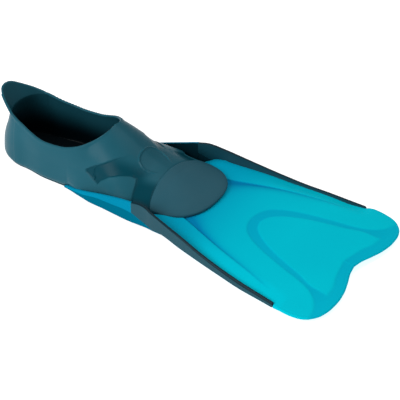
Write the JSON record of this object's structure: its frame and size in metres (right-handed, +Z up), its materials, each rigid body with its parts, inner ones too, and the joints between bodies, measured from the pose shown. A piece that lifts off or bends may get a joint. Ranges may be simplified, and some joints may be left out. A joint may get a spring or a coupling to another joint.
{
  "type": "swim fin",
  "caption": "Full-foot swim fin with a closed-heel rubber foot pocket, stiff side frame, long flexing blade with a chevron and a notched tail.",
  "frame": {"origin": "middle of the fin's footprint, on the surface it lies on", "axes": "+X from the heel to the tail, +Y across to the fin's left, +Z up"},
  "size_m": [0.4782, 0.2096, 0.0815],
  "materials": {
    "pocket_elastomer": "satin moulded elastomer, dark teal",
    "toe_elastomer": "matte moulded elastomer, dark teal",
    "insole_foam": "matte insole, near black teal",
    "sole_rubber": "matte tread rubber",
    "frame_plastic": "satin moulded plastic, blue",
    "rail_elastomer": "satin moulded elastomer, dark teal grey",
    "blade_plastic": "satin moulded plastic, cyan, slightly translucent"
  },
  "bodies": {
    "foot": {"foot_pocket": "pocket_elastomer", "toe_cap": "toe_elastomer", "footbed": "insole_foam", "outsole": "sole_rubber", "ball_grip": "sole_rubber", "sole_plate": "frame_plastic", "side_wall_left": "frame_plastic", "side_wall_right": "frame_plastic", "rail_root_left": "rail_elastomer", "rail_root_right": "rail_elastomer", "blade_root": "blade_plastic"},
    "blade": {"blade_panel": "blade_plastic", "rail_left": "rail_elastomer", "rail_right": "rail_elastomer"},
    "tab": {"heel_tab": "pocket_elastomer"}
  },
  "joints": [
    {"name": "blade_flex", "type": "hinge", "parent": "foot", "child": "blade", "pos_m": [0.0604, 0, 0.02076], "axis": [0, 1, 0], "range_deg": [-25, 25], "stiffness_Nm_per_rad": 4.5},
    {"name": "heel_tab_flex", "type": "hinge", "parent": "foot", "child": "tab", "pos_m": [-0.2241, 0, 0.0672], "axis": [0, 1, 0], "range_deg": [-35, 35], "stiffness_Nm_per_rad": 0.15}
  ]
}
